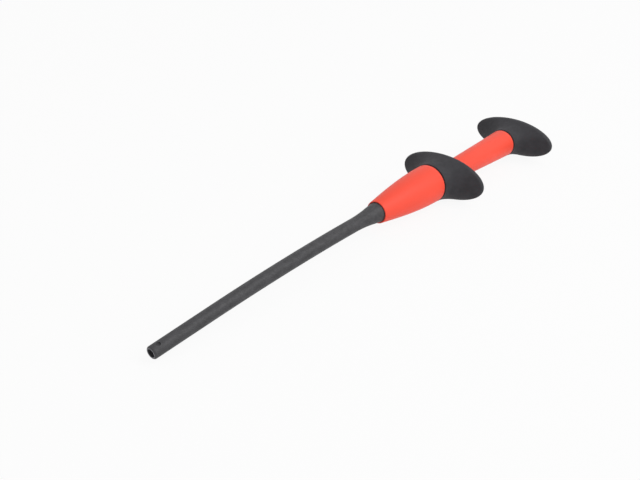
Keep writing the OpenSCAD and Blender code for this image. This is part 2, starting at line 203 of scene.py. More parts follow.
class InnerSizes(bpy.types.PropertyGroup):
    """Sizes of the pieces inside the clip."""

    edge: measure("Edge", "Rounding of turned edges", 0.15)
    rod_hole_d: measure("Rod hole", "Hole through the retainer and the washer", 4)
    run_gap: measure("Running gap", "Clearance on each side of what slides or turns", 0.05)
    wire_d: measure("Spring wire", "Diameter of the spring's wire", 0.7)
    turns: bpy.props.IntProperty(name="Spring turns", description="Turns of the spring", default=11, min=4)
    dent: measure("Crimp dent", "Half the length of a dent in the crimp", 0.6)
    cable_d: measure("Cable", "Diameter of the cable", 1.5)
    cable_lay: measure("Cable lay", "Length of one turn of the cable's strands", 14)
    cable_split: measure("Cable split", "How far in front of the barrel the cable's two lengths meet", 41)
    socket_d: measure("Socket", "Bore of the contact sleeve", 4)
    socket_depth: measure("Socket depth", "Depth of the contact sleeve's bore", 18.3)
    contact_wall: measure("Sleeve wall", "Wall of the contact sleeve", 0.6)
    contact_tail_d: measure("Contact tail", "Diameter of the contact's tail", 4)
    contact_collar: measure("Contact collar", "Length of the contact's collar", 1.5)
    rod_depth: measure("Rod depth", "Depth of the hole for the rod in the contact", 6)


class JawSizes(bpy.types.PropertyGroup):
    """Sizes of the jaws and the ferrule that carries them."""

    length: measure("Length", "Length in front of the pivot", 13)
    recess: measure("Recess", "How far the closed jaws lie inside the mouth", 1)
    width: measure("Width", "Width of a jaw", 0.9)
    thickness: measure("Thickness", "Thickness of a jaw", 0.54)
    gap: measure("Gap", "Gap between the closed jaws", 0.16)
    edge: measure("Edge", "Rounding of a jaw's edges", 0.04)
    claw: measure("Claw", "Length of the bent claw", 2.2)
    claw_rise: measure("Claw rise", "Height of the hollow behind the point", 0.22)
    bulge: measure("Bulge", "Bulge of the claw's back", 0.1)
    point: measure("Point", "Width of the sharp point", 0.16)
    ferrule_d: measure("Ferrule", "Diameter of the ferrule", 2.6)
    ferrule: measure("Ferrule length", "Length of the ferrule", 7)
    pivot_inset: measure("Pivot inset", "From the ferrule's front end to the jaws' pivot", 1)
    cable_grip: measure("Cable grip", "Depth of the cable's hole in the ferrule", 4)


class ClipColours(bpy.types.PropertyGroup):
    """Colours of the finishes."""

    red: colour("Housing", "Moulded red of the barrel and the plunger", 0.96, 0.083, 0.045)
    grip: colour("Grips", "Soft charcoal of the finger flange and the thumb cap", 0.034, 0.0332, 0.038)
    tube: colour("Shaft", "Dark grey of the flexible shaft", 0.038, 0.0374, 0.041)
    # Pale grey of the painted highlight on the shaft's lip
    worn: colour("Worn lip", "Pale grey of the shaft's rubbed lip", 0.38, 0.374, 0.41)
    ivory: colour("Inner mouldings", "Natural colour of the inner mouldings", 0.72, 0.69, 0.6)
    black: colour("Insulator", "Black of the socket's post", 0.014, 0.014, 0.015)
    brass: colour("Brass", "Turned brass", 0.72, 0.53, 0.24)
    steel: colour("Steel", "Drawn steel", 0.6, 0.61, 0.63)


class StageSettings(bpy.types.PropertyGroup):
    """Camera, floor and light."""

    aim: position("Aim", "Point that the camera looks at", FRONT_X - 32.012 * MM, 1.729 * MM, AXIS_Z)
    distance: measure("Distance", "From the camera to its aim", 320.578)
    azimuth: angle("Azimuth", "Turn of the line of sight from +Y towards +X", 49.846)
    elevation: angle("Elevation", "Height of the camera above the clip's level", 29.137)
    roll: angle("Roll", "Turn of the camera about its line of sight", 1.292)
    lens: amount("Lens", "Focal length in millimetres", 48.706)
    sensor: amount("Sensor", "Width of the camera's sensor in millimetres", 36.0)
    nearest: measure("Nearest", "Nearest distance that the camera shows", 10)
    floor_tilt: angle("Floor tilt", "Tilt of the floor that the clip lies on, across the clip", 1.96)
    floor_room: measure("Floor room", "Room under the flange, so that the spread jaws stay clear", 0.1)
    floor_size: measure("Floor", "Width of the floor", 60000)
    floor_colour: colour("Floor colour", "Colour of the floor", 0.8, 0.8, 0.8)
    floor_white: amount("Floor white", "Share of plain white in the floor that the camera sees", 0.92)
    ambient: amount("Ambient", "Strength of the light from all round", 0.62)
    key: amount("Key", "Power of the lamp above the clip's near side, in watts", 4.0)
    key_place: position("Key place", "Place of the lamp above the clip's near side", 0.3, -0.62, 0.78)
    fill: amount("Fill", "Power of the low lamp on the clip's near side, in watts", 1.7)
    fill_place: position("Fill place", "Place of the low lamp on the clip's near side", 0.1, -1.0, 0.2)
    lamp_size: measure("Lamps", "Width of both lamps", 600)


class ClipSettings(bpy.types.PropertyGroup):
    """All settings of the clip and its stage."""

    shaft: bpy.props.PointerProperty(type=ShaftSizes)
    body: bpy.props.PointerProperty(type=BodySizes)
    grips: bpy.props.PointerProperty(type=GripSizes)
    inner: bpy.props.PointerProperty(type=InnerSizes)
    jaws: bpy.props.PointerProperty(type=JawSizes)
    colours: bpy.props.PointerProperty(type=ClipColours)
    stage: bpy.props.PointerProperty(type=StageSettings)


# Places

def span(node):
    """Front and rear station of a node on the body's axis, and half its height."""
    low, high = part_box(node)
    return low.x - FRONT_X, high.x - FRONT_X, (high.z - low.z) / 2


def steps(start, end, count):
    """Even steps from start to end, both included."""
    return [start + (end - start) * k / count for k in range(count + 1)]


def on_axis(station, half_w, half_h=None):
    """A ring across the body's axis, round unless it has a height of its own."""
    return Ring(Vector((FRONT_X + station, 0.0, AXIS_Z)), half_w, half_h or half_w, 0.0)


def course(shaft, reach):
    """Centre of the shaft at a reach in front of the barrel, and how far it leans there."""
    bend = shaft.length - shaft.straight
    radius = bend / SHAFT_BEND
    lean = SHAFT_BEND * min(max(reach, 0.0), bend) / bend
    past = reach if reach < 0.0 else max(reach - bend, 0.0)
    forward = radius * math.sin(lean) + past * math.cos(lean)
    drop = radius * (1.0 - math.cos(lean)) + past * math.sin(lean)
    return Vector((FRONT_X - forward, 0.0, AXIS_Z - drop)), lean


def on_course(shaft, reach, radius):
    """A round ring across the shaft's course."""
    centre, lean = course(shaft, reach)
    return Ring(centre, radius, radius, lean)


def lying(height, radius, x=0.0, y=0.0):
    """A round ring that lies level."""
    return Ring(Vector((x, y, height)), radius, radius, QUARTER)


def behind_mouth(shaft, back, half_w, half_h=None, up=0.0):
    """A ring across the shaft's last stretch, at its middle or above or below it."""
    centre, lean = course(shaft, shaft.length - back)
    lift = Vector((-math.sin(lean), 0.0, math.cos(lean))) * up
    return Ring(centre + lift, half_w, half_h or half_w, lean)


def tube_radius(shaft, reach):
    """Outer radius of the shaft: a slow taper, with a neck that is a cone at first and then runs out."""
    taper = (shaft.mouth_d - shaft.tube_d) / 2 * reach / shaft.length
    left = shaft.flare_run - reach / shaft.flare
    curved = 2 * shaft.flare_run - 2
    share = left + 1 - shaft.flare_run if left > curved else max(left, 0.0) ** 2 / (2 * curved)
    return shaft.tube_d / 2 + taper + (shaft.neck_d - shaft.tube_d) / 2 * share


def ferrule_ends(jaws):
    """How far behind the mouth the ferrule starts and ends."""
    front = jaws.recess + jaws.length - jaws.pivot_inset
    return front, front + jaws.ferrule


def chamfered(front, rear, radius, edge):
    """Places and radii along a bar with chamfered ends."""
    return (front, radius - edge), (front + edge, radius), (rear - edge, radius), (rear, radius - edge)


def filleted(corners):
    """Points of a closed outline of stations and sizes, rounded where a corner has a rounding as well."""
    points = []
    for i, (station, size, *rounding) in enumerate(corners):
        here = Vector((station, size))
        if not rounding:
            points.append(here)
            continue
        radius = rounding[0]
        before = (Vector(corners[i - 1][:2]) - here).normalized()
        after = (Vector(corners[(i + 1) % len(corners)][:2]) - here).normalized()
        half = before.angle(after) / 2
        centre = here + (before + after).normalized() * (radius / math.sin(half))
        start = here + before * (radius / math.tan(half)) - centre
        end = here + after * (radius / math.tan(half)) - centre
        points += [centre + start.slerp(end, share).normalized() * radius
                   for share in steps(0.0, 1.0, CORNER_STEPS)]
    return points


# Modelling

def deselect():
    """Leave edit mode with nothing selected."""
    if bpy.context.mode != "OBJECT":
        bpy.ops.object.mode_set(mode="OBJECT")
    bpy.ops.object.select_all(action="DESELECT")


def select_only(piece):
    """Select one piece and make it active."""
    deselect()
    piece.select_set(True)
    bpy.context.view_layer.objects.active = piece


def settle():
    """Put the selected piece's place and turn into its mesh."""
    bpy.ops.object.transform_apply(location=True, rotation=True, scale=True)


def pick(piece, wanted):
    """Select only the points that are wanted, in edit mode."""
    bpy.ops.mesh.select_all(action="DESELECT")
    bpy.ops.object.mode_set(mode="OBJECT")
    for vertex in piece.data.vertices:
        vertex.select = wanted(vertex)
    bpy.ops.object.mode_set(mode="EDIT")


def extrude(move):
    """Extrude what is selected."""
    bpy.ops.mesh.extrude_region_move(TRANSFORM_OT_translate={"value": move})


def rotate(value, axis, centre):
    """Turn what is selected. With no window a turn runs against the right-hand rule."""
    bpy.ops.transform.rotate(value=value, orient_axis=axis, center_override=centre)


def resize(value, centre):
    """Scale what is selected along each axis."""
    bpy.ops.transform.resize(value=value, center_override=centre)


def start_ring(name, ring, sides, filled):
    """Start a piece as a ring, in edit mode and selected. A square one has level and upright sides."""
    deselect()
    place = {"location": ring.centre, "rotation": (0.0, QUARTER - ring.lean, 0.0)}
    if sides == SQUARE:
        bpy.ops.mesh.primitive_plane_add(size=2 * ring.half_w, **place)
    else:
        fill = "NGON" if filled else "NOTHING"
        bpy.ops.mesh.primitive_circle_add(vertices=sides, radius=ring.half_w, fill_type=fill, **place)
    piece = bpy.context.object
    piece.name = name
    piece.data.name = name
    settle()
    bpy.ops.object.mode_set(mode="EDIT")
    bpy.ops.mesh.select_all(action="SELECT")
    high = ring.half_h / ring.half_w
    resize((high, 1.0, high), ring.centre)
    return piece


def extrude_to(before, ring, twist):
    """Extrude the selected ring on to the next one, with a twist about its own axis."""
    extrude(ring.centre - before.centre)
    if twist:
        rotate(-before.lean, "Y", ring.centre)
        rotate(twist, "X", ring.centre)
        rotate(before.lean, "Y", ring.centre)
    if ring.lean != before.lean:
        rotate(ring.lean - before.lean, "Y", ring.centre)
    wide = ring.half_w / before.half_w
    high = ring.half_h / before.half_h
    if (wide, high) != (1.0, 1.0):
        resize((high, wide, high), ring.centre)


def close_mesh(hollow=False):
    """Bridge a hollow piece's two open rings, turn all faces outwards and leave edit mode."""
    if hollow:
        bpy.ops.mesh.select_all(action="DESELECT")
        bpy.ops.mesh.select_non_manifold(extend=False)
        bpy.ops.mesh.bridge_edge_loops()
    bpy.ops.mesh.select_all(action="SELECT")
    bpy.ops.mesh.normals_make_consistent(inside=False)
    bpy.ops.object.mode_set(mode="OBJECT")


def sweep(rings, hollow=False, twist=0.0):
    """Extrude the first ring, which is selected, along the others and close the mesh."""
    for before, ring in zip(rings, rings[1:]):
        extrude_to(before, ring, twist)
    close_mesh(hollow)


def bar(name, rings, sides=PLAIN_SIDES):
    """Model a solid piece ring by ring."""
    piece = start_ring(name, rings[0], sides, filled=True)
    sweep(rings)
    return piece


def shell(name, rings, sides=PLAIN_SIDES):
    """Model a hollow piece ring by ring, in and out again to the first one."""
    piece = start_ring(name, rings[0], sides, filled=False)
    sweep(rings, hollow=True)
    return piece


def turned(name, corners, sides=PLAIN_SIDES):
    """Model a hollow piece turned about the body's axis from the corners of its section."""
    return shell(name, [on_axis(*point) for point in filleted(corners)], sides)


def use_modifier(piece, kind, **settings):
    """Give a piece a modifier and apply it."""
    select_only(piece)
    bpy.ops.object.modifier_add(type=kind)
    modifier = piece.modifiers[-1]
    for key, value in settings.items():
        setattr(modifier, key, value)
    bpy.ops.object.modifier_apply(modifier=modifier.name)


def cut(piece, cutter):
    """Cut a piece with another one, which is then removed."""
    use_modifier(piece, "BOOLEAN", operation="DIFFERENCE", solver="EXACT", object=cutter)
    select_only(cutter)
    bpy.ops.object.delete()


def soften(piece, width):
    """Round a piece's sharp edges."""
    use_modifier(piece, "BEVEL", width=width, segments=2, limit_method="ANGLE", angle_limit=CREASE)


# Finishes

def add_node(tree, kind, *ordered, **named):
    """Add a node and fill its inputs, by order or by name, with values or links."""
    node = tree.nodes.new(kind)
    filled = [*zip(node.inputs, ordered)]
    filled += [(node.inputs[name.replace("_", " ")], value) for name, value in named.items()]
    for socket, value in filled:
        if isinstance(value, bpy.types.NodeSocket):
            tree.links.new(value, socket)
        else:
            socket.default_value = value
    return node


class Finish:
    """A procedural material in the making, on the piece's own coordinates."""

    def __init__(self, name, base, metallic=0.0, specular=0.5):
        self.material = bpy.data.materials.new(name)
        self.material.use_nodes = True
        self.tree = self.material.node_tree
        self.shader = self.tree.nodes["Principled BSDF"]
        self.shader.inputs["Metallic"].default_value = metallic
        self.shader.inputs["Specular IOR Level"].default_value = specular
        self.base = Vector(base)
        self.place = self.tree.nodes.new("ShaderNodeTexCoord").outputs["Object"]

    def grid(self, size, along=1.0):
        """The piece's coordinates in units of a given size, drawn out along the clip."""
        scale = (1.0 / (size * along), 1.0 / size, 1.0 / size)
        return add_node(self.tree, "ShaderNodeMapping", Vector=self.place, Scale=scale).outputs["Vector"]

    def noise(self, size, detail=2.0, along=1.0):
        """Noise with grains of a given size, drawn out along the clip."""
        node = add_node(self.tree, "ShaderNodeTexNoise", Vector=self.grid(size, along), Scale=1.0,
                        Detail=detail)
        return node.outputs["Fac"]

    def rings(self, pitch):
        """Fine rings across the body's axis, as a lathe tool leaves them."""
        node = add_node(self.tree, "ShaderNodeTexWave", Vector=self.grid(pitch), Scale=WAVE_SCALE,
                        Distortion=1.5, Detail=2.0)
        node.wave_type = "BANDS"
        node.bands_direction = "X"
        return node.outputs["Fac"]

    def between(self, factor, low, high):
        """A number that runs from low to high, or up to another pattern, with a pattern."""
        node = add_node(self.tree, "ShaderNodeMapRange", Value=factor,
                        From_Min=NOISE_LOW, From_Max=NOISE_HIGH, To_Min=low, To_Max=high)
        return node.outputs["Result"]

    def mark(self, name):
        """A pattern that a piece carries on its own points."""
        node = self.tree.nodes.new("ShaderNodeAttribute")
        node.attribute_name = name
        return node.outputs["Fac"]

    def blend(self, factor, other):
        """Lead the colour so far over to another one, with a pattern."""
        colour_in = self.shader.inputs["Base Color"]
        node = self.tree.nodes.new("ShaderNodeMix")
        node.data_type = "RGBA"
        fac, first, second = [s for s in node.inputs if s.enabled]
        self.tree.links.new(factor, fac)
        first.default_value = colour_in.default_value
        if colour_in.is_linked:
            self.tree.links.new(colour_in.links[0].from_socket, first)
        second.default_value = (*other, 1.0)
        self.tree.links.new(next(s for s in node.outputs if s.enabled), colour_in)

    def tint(self, factor, dark, light):
        """Vary the base colour with a pattern, between two shares of it."""
        self.shader.inputs["Base Color"].default_value = (*(self.base * dark), 1.0)
        self.blend(self.between(factor, 0.0, 1.0), self.base * light)

    def gloss(self, factor, low, high):
        """Vary the roughness with a pattern."""
        self.tree.links.new(self.between(factor, low, high), self.shader.inputs["Roughness"])

    def relief(self, height, depth):
        """Raise the surface with a pattern, by a real depth."""
        bump = add_node(self.tree, "ShaderNodeBump", Height=height, Strength=1.0, Distance=depth)
        self.tree.links.new(bump.outputs["Normal"], self.shader.inputs["Normal"])


def red_moulding(colours):
    """Satin red moulding with a fine spark-eroded grain and faint flow marks."""
    finish = Finish("red_moulding", colours.red, specular=0.3)
    finish.tint(finish.noise(7 * MM, along=2.5), dark=0.97, light=1.03)
    finish.gloss(finish.noise(0.6 * MM, detail=4.0), low=0.44, high=0.54)
    finish.relief(finish.noise(0.16 * MM, detail=3.0), depth=0.006 * MM)
    return finish.material


def soft_charcoal(colours):
    """Soft matt overmoulding with a velvety grain."""
    finish = Finish("soft_charcoal", colours.grip, specular=0.3)
    finish.tint(finish.noise(2.5 * MM, detail=4.0), dark=0.85, light=1.15)
    finish.gloss(finish.noise(0.8 * MM, detail=4.0), low=0.58, high=0.7)
    finish.relief(finish.noise(0.22 * MM, detail=3.0), depth=0.012 * MM)
    return finish.material


def flexible_grey(colours):
    """Flexible insulation with a mottled, slightly drawn-out skin, and a painted pale highlight on the
    mouth's lip where its mark says.
    """
    finish = Finish("flexible_grey", colours.tube)
    finish.tint(finish.noise(1.6 * MM, detail=5.0, along=1.6), dark=0.7, light=1.3)
    # Painted highlight: the lip is lightened toward a pale grey where its mark says, broken up by noise
    finish.blend(finish.between(finish.noise(0.5 * MM), 0.0, finish.mark("lip_highlight_mark")), colours.worn)
    finish.gloss(finish.noise(0.9 * MM, detail=4.0), low=0.5, high=0.66)
    finish.relief(finish.noise(0.3 * MM, detail=3.0, along=1.6), depth=0.015 * MM)
    return finish.material


def natural_moulding(colours):
    """Unpainted inner moulding, a little waxy."""
    finish = Finish("natural_moulding", colours.ivory)
    finish.tint(finish.noise(2 * MM), dark=0.95, light=1.02)
    finish.gloss(finish.noise(0.5 * MM, detail=3.0), low=0.36, high=0.46)
    finish.relief(finish.noise(0.2 * MM), depth=0.004 * MM)
    return finish.material


def black_moulding(colours):
    """Black moulding of the socket's post."""
    finish = Finish("black_moulding", colours.black)
    finish.tint(finish.noise(1.5 * MM), dark=0.9, light=1.1)
    finish.gloss(finish.noise(0.5 * MM, detail=3.0), low=0.34, high=0.46)
    finish.relief(finish.noise(0.18 * MM), depth=0.005 * MM)
    return finish.material


def turned_brass(colours):
    """Brass with fine rings from the lathe and a little tarnish."""
    finish = Finish("turned_brass", colours.brass, metallic=1.0)
    finish.tint(finish.noise(1.8 * MM, detail=4.0), dark=0.86, light=1.05)
    finish.gloss(finish.noise(0.5 * MM, detail=4.0), low=0.2, high=0.34)
    finish.relief(finish.rings(0.1 * MM), depth=0.003 * MM)
    return finish.material


def drawn_steel(colours):
    """Steel with faint drawing streaks."""
    finish = Finish("drawn_steel", colours.steel, metallic=1.0)
    finish.tint(finish.noise(0.7 * MM, detail=4.0, along=5.0), dark=0.82, light=1.05)
    finish.gloss(finish.noise(0.3 * MM, detail=4.0, along=6.0), low=0.24, high=0.38)
    finish.relief(finish.noise(0.08 * MM, along=12.0), depth=0.002 * MM)
    return finish.material


FINISHES = {
    "red_housing": red_moulding,
    "soft_grip": soft_charcoal,
    "shaft_insulation": flexible_grey,
    "natural_plastic": natural_moulding,
    "black_plastic": black_moulding,
    "brass": turned_brass,
    "steel": drawn_steel,
}


def dress(clip, piece, body, slot, node):
    """Shade a finished piece, give it its slot's finish and set it on its body in place of its node."""
    finish = FINISHES[slot]
    material = bpy.data.materials.get(finish.__name__) or finish(clip.colours)
    select_only(piece)
    bpy.ops.object.shade_smooth_by_angle(angle=CREASE)
    piece.data.materials.clear()
    piece.data.materials.append(material)
    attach(piece, body)
    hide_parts(node)


# Pieces

class CLIP_OT_shaft(bpy.types.Operator):
    """Model the flexible shaft: a bored tube on its drooping course, with a flared neck and a collar"""

    bl_idname = "clip.shaft"
    bl_label = "Flexible shaft"

    def execute(self, context):
        clip = context.scene.clip
        shaft = clip.shaft
        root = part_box("shaft")[1]
        collar_rear = root.x - FRONT_X
        collar_r = root.z - AXIS_Z
        seat = collar_rear - shaft.root_collar
        end = shaft.length
        bend = end - shaft.straight
        flare_end = shaft.flare * shaft.flare_run
        root_r = shaft.root_bore_d / 2
        jaw_r = shaft.jaw_bore_d / 2
        bend_steps = 24
        flare_steps = 18
        bores = [(-collar_rear, root_r), (shaft.root_bore, root_r)]
        bores += [(reach, shaft.cable_bore_d / 2) for reach in steps(shaft.root_bore, bend, bend_steps)]
        mouth = filleted([(bend, jaw_r), (end, jaw_r, shaft.lip_round),
                          (end, tube_radius(shaft, end), shaft.mouth_round),
                          (bend, tube_radius(shaft, bend))])
        tube = steps(bend, flare_end, bend_steps)[1:-1] + steps(flare_end, 0.0, flare_steps)
        skin = [(reach, tube_radius(shaft, reach)) for reach in tube]
        collar = [(-seat, shaft.neck_d / 2), (-seat, collar_r), (-collar_rear, collar_r)]
        rings = [on_course(shaft, *place) for place in [*bores, *mouth, *skin, *collar]]
        piece = shell("shaft_tube", rings)
        cut(piece, self.dimple(shaft))
        # Mark the lip for its painted highlight
        self.lip_highlight_mark(piece, shaft)
        dress(clip, piece, "housing", "shaft_insulation", "shaft")
        return {"FINISHED"}

    def dimple(self, shaft):
        """A cutter with a bevelled foot that stands on end in the shaft's skin."""
        edge = shaft.lip_round
        radius = shaft.dimple_d / 2
        foot = -shaft.dimple_depth
        top = foot + edge + shaft.mouth_d
        rings = [lying(foot, radius - edge), lying(foot + edge, radius), lying(top, radius)]
        cutter = bar("dimple_cutter", rings, PLAIN_SIDES // 2)
        reach = shaft.length - shaft.dimple_back
        centre, lean = course(shaft, reach)
        turn = Matrix.Rotation(-lean, 3, "Y") @ Matrix.Rotation(shaft.dimple_turn, 3, "X")
        outward = turn @ Vector((0.0, 0.0, 1.0))
        place = Matrix.Translation(centre + outward * tube_radius(shaft, reach))
        cutter.matrix_world = place @ outward.to_track_quat("Z", "Y").to_matrix().to_4x4()
        settle()
        return cutter

    def lip_highlight_mark(self, piece, shaft):
        """Mark where the mouth's lip gets its painted pale highlight, strongest at the bore's edge."""
        mouth, _ = course(shaft, shaft.length)
        # A little short of where the lip's rounding meets the bore
        lip_depth = 0.9 * shaft.lip_round
        # Painted highlight on the lip: full at the bore's edge, fading out across the lip
        marks = piece.data.attributes.new("lip_highlight_mark", "FLOAT", "POINT")
        for vertex, mark in zip(piece.data.vertices, marks.data):
            offset = vertex.co - mouth
            wall = offset.cross(MOUTH_WARD).length - shaft.jaw_bore_d / 2
            worn = max(1.0 - (wall / shaft.lip_rub) ** 2, 0.0)
            mark.value = worn if -offset.dot(MOUTH_WARD) < lip_depth else 0.0


class CLIP_OT_barrel(bpy.types.Operator):
    """Model the red barrel: an ogive shell with a seat for the shaft, a spring chamber and a tail"""

    bl_idname = "clip.barrel"
    bl_label = "Barrel"

    def execute(self, context):
        clip = context.scene.clip
        body = clip.body
        front, tail_end, rear_r = span("barrel")
        rear = span("finger_flange")[0] - body.fit
        bush_front, _, bush_r = span("guide_bush")
        front_r = body.barrel_front_d / 2
        tail_r = body.tail_d / 2
        chamber_r = body.chamber_d / 2
        neck_r = clip.shaft.neck_d / 2 + body.fit
        groove_r = neck_r + body.neck_groove_w
        groove_end = front + body.neck_groove
        ogive_steps = 24
        ogive = [(rear * share, front_r + (rear_r - front_r) * math.sin(QUARTER * share))
                 for share in steps(0.0, 1.0, ogive_steps)[1:-1]]
        piece = turned("barrel_shell", [
            (groove_end, neck_r), (groove_end, groove_r), (front, groove_r),
            (front, front_r, body.edge / 2), *ogive, (rear, rear_r, body.edge),
            (rear, tail_r), (tail_end, tail_r, body.edge),
            (tail_end, bush_r + body.fit), (bush_front, bush_r + body.fit),
            (bush_front, chamber_r), (body.neck_seat, chamber_r), (body.neck_seat, neck_r),
        ], FINE_SIDES)
        dress(clip, piece, "housing", "red_housing", "barrel")
        return {"FINISHED"}


class CLIP_OT_grips(bpy.types.Operator):
    """Model the two soft grips: round collars that flare to oval rims, with crowned rear faces"""

    bl_idname = "clip.grips"
    bl_label = "Soft grips"

    def execute(self, context):
        clip = context.scene.clip
        body = clip.body
        grips = clip.grips
        flange = self.grip(clip, "finger_flange", "finger_grip", "barrel", grips.flange_collar_d,
                           grips.flange_crown, body.tail_d, grips.flange_hole_d)
        cap = self.grip(clip, "thumb_cap", "thumb_grip", "plunger", grips.cap_collar_d,
                        grips.cap_crown, body.plunger_tail_d, body.well_d)
        dress(clip, flange, "housing", "soft_grip", "finger_flange")
        dress(clip, cap, "plunger", "soft_grip", "thumb_cap")
        return {"FINISHED"}

    def grip(self, clip, node, name, carrier, collar_d, crown, seat_d, hole_d):
        """Model one grip on its node's box, seated on the tail of the hard piece that carries it."""
        body = clip.body
        grips = clip.grips
        low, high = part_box(node)
        nose, rear, half_h = span(node)
        _, seat_end, carrier_r = span(carrier)
        front = nose - body.fit + body.groove
        nose_r = carrier_r - body.groove_depth
        half_w = (high.y - low.y) / 2
        half_rim = grips.rim / 2
        rim = rear - crown - half_rim
        collar_r = collar_d / 2
        hole_r = hole_d / 2
        lip_r = hole_r + half_rim
        seat_r = seat_d / 2 + body.fit
        wide = self.front_face(front, rim, collar_r, half_w, half_rim, grips.flare_power)
        tall = self.front_face(front, rim, collar_r, half_h, half_rim, grips.flare_power)

        rear_steps = 18
        rim_steps = 12
        face_steps = 22
        lip = filleted([(seat_end, hole_r), (rear, hole_r, grips.edge), (rear, lip_r)])[:-1]
        rings = [on_axis(*point) for point in lip]
        for turn in steps(QUARTER, 0.0, rear_steps)[:-1]:
            out = math.cos(turn) ** (2.0 / grips.rear_fullness)
            back = math.sin(turn) ** (2.0 / grips.rear_fullness)
            rings.append(on_axis(rim + (rear - rim) * back,
                                 lip_r + (half_w - lip_r) * out, lip_r + (half_h - lip_r) * out))
        stations = [rim - half_rim * math.sin(turn) for turn in steps(0.0, QUARTER, rim_steps)]
        stations += steps(rim - half_rim, front + grips.edge, face_steps)[1:]
        rings += [on_axis(station, wide(station), tall(station)) for station in stations]
        edge = filleted([(front + grips.edge, collar_r), (front, collar_r, grips.edge), (front, nose_r),
                         (nose, nose_r), (nose, seat_r), (seat_end, seat_r)])[2:]
        rings += [on_axis(*point) for point in edge]
        return shell(name, rings, FINE_SIDES)

    def front_face(self, front, rim, collar, peak, half_rim, power):
        """Outline of the front face: a flare from the collar that runs smoothly into the round rim."""
        low, high = 0.0, QUARTER
        halvings = 40
        for _ in range(halvings):
            meet = (low + high) / 2
            reach = rim - half_rim * math.sin(meet) - front
            rise = peak - half_rim * (1.0 - math.cos(meet)) - collar
            if math.tan(meet) * reach < power * rise:
                low = meet
            else:
                high = meet

        def outline(station):
            if station > front + reach:
                return peak - half_rim + math.sqrt(max(half_rim ** 2 - (rim - station) ** 2, 0.0))
            return collar + rise * ((station - front) / reach) ** power

        return outline


class CLIP_OT_plunger(bpy.types.Operator):
    """Model the red plunger: a slender taper with a spring bore in front and a socket well behind"""

    bl_idname = "clip.plunger"
    bl_label = "Plunger"

    def execute(self, context):
        clip = context.scene.clip
        body = clip.body
        front, rear, rear_r = span("plunger")
        shoulder = span("thumb_cap")[0] - body.fit
        bush_front, bush_rear, _ = span("guide_bush")
        straight_end = bush_rear + STROKE + bush_front - span("plunger_stop")[1]
        web_front = span("contact_nut")[1]
        web_rear = web_front + body.web
        front_r = body.plunger_front_d / 2
        tail_r = body.plunger_tail_d / 2
        well_r = body.well_d / 2
        bore_r = body.spring_bore_d / 2
        contact_r = clip.inner.contact_tail_d / 2 + body.fit
        piece = turned("plunger_body", [
            (front, bore_r, body.edge), (front, front_r, body.edge),
            (straight_end, front_r), (shoulder, rear_r, body.edge),
            (shoulder, tail_r), (rear, tail_r, body.edge),
            (rear, well_r, body.edge), (web_rear, well_r),
            (web_rear, contact_r), (web_front, contact_r), (web_front, bore_r),
        ], FINE_SIDES)
        dress(clip, piece, "plunger", "red_housing", "plunger")
        return {"FINISHED"}


class CLIP_OT_cores(bpy.types.Operator):
    """Model the two rigid cores inside the soft grips: plates with round ends and a hole for the tail"""

    bl_idname = "clip.cores"
    bl_label = "Grip cores"

    def execute(self, context):
        clip = context.scene.clip
        body = clip.body
        for node, name, rider, hole_d in (("flange_core", "flange_core_plate", "housing", body.tail_d),
                                          ("cap_core", "cap_core_plate", "plunger", body.plunger_tail_d)):
            plate = self.plate(node, name)
            front, rear, _ = span(node)
            hole_r = hole_d / 2 + body.fit
            hole = [on_axis(station, hole_r) for station in (front - body.edge, rear + body.edge)]
            cut(plate, bar("drill", hole, FINE_SIDES))
            soften(plate, body.edge / 2)
            dress(clip, plate, rider, "red_housing", node)
        return {"FINISHED"}

    def plate(self, node, name):
        """A plate whose round ends are a circle's two halves, moved apart."""
        low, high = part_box(node)
        front, rear, half_h = span(node)
        apart = (high.y - low.y) / 2 - half_h
        piece = start_ring(name, on_axis(front, half_h), FINE_SIDES, filled=True)
        for side in (-1, 1):
            pick(piece, lambda vertex: vertex.co.y * side > 0.0)
            bpy.ops.transform.translate(value=(0.0, side * apart, 0.0))
        bpy.ops.mesh.select_all(action="SELECT")
        extrude((rear - front, 0.0, 0.0))
        close_mesh()
        return piece


class CLIP_OT_rings(bpy.types.Operator):
    """Model the turned rings: shaft retainer, spring washer, guide bush, plunger stop and rod guide"""

    bl_idname = "clip.rings"
    bl_label = "Inner rings"

    def execute(self, context):
        clip = context.scene.clip
        fit = clip.body.fit
        inner = clip.inner
        rod_hole_r = inner.rod_hole_d / 2
        plunger_r = clip.body.plunger_front_d / 2
        rod_r = span("drive_rod")[2]
        for node, name, rider, slot, hole_r in (
                ("shaft_retainer", "retainer_ring", "housing", "natural_plastic", rod_hole_r),
                ("spring_washer", "washer_ring", "housing", "steel", rod_hole_r),
                ("guide_bush", "guide_bush_ring", "housing", "natural_plastic", plunger_r + inner.run_gap),
                ("plunger_stop", "stop_ring", "plunger", "natural_plastic", plunger_r + fit),
                ("rod_guide", "rod_guide_ring", "plunger", "natural_plastic", rod_r + fit)):
            front, rear, outer_r = span(node)
            edge = min(inner.edge, (rear - front) / 4)
            piece = turned(name, [(front, hole_r, edge), (front, outer_r, edge),
                                  (rear, outer_r, edge), (rear, hole_r, edge)])
            dress(clip, piece, rider, slot, node)
        return {"FINISHED"}


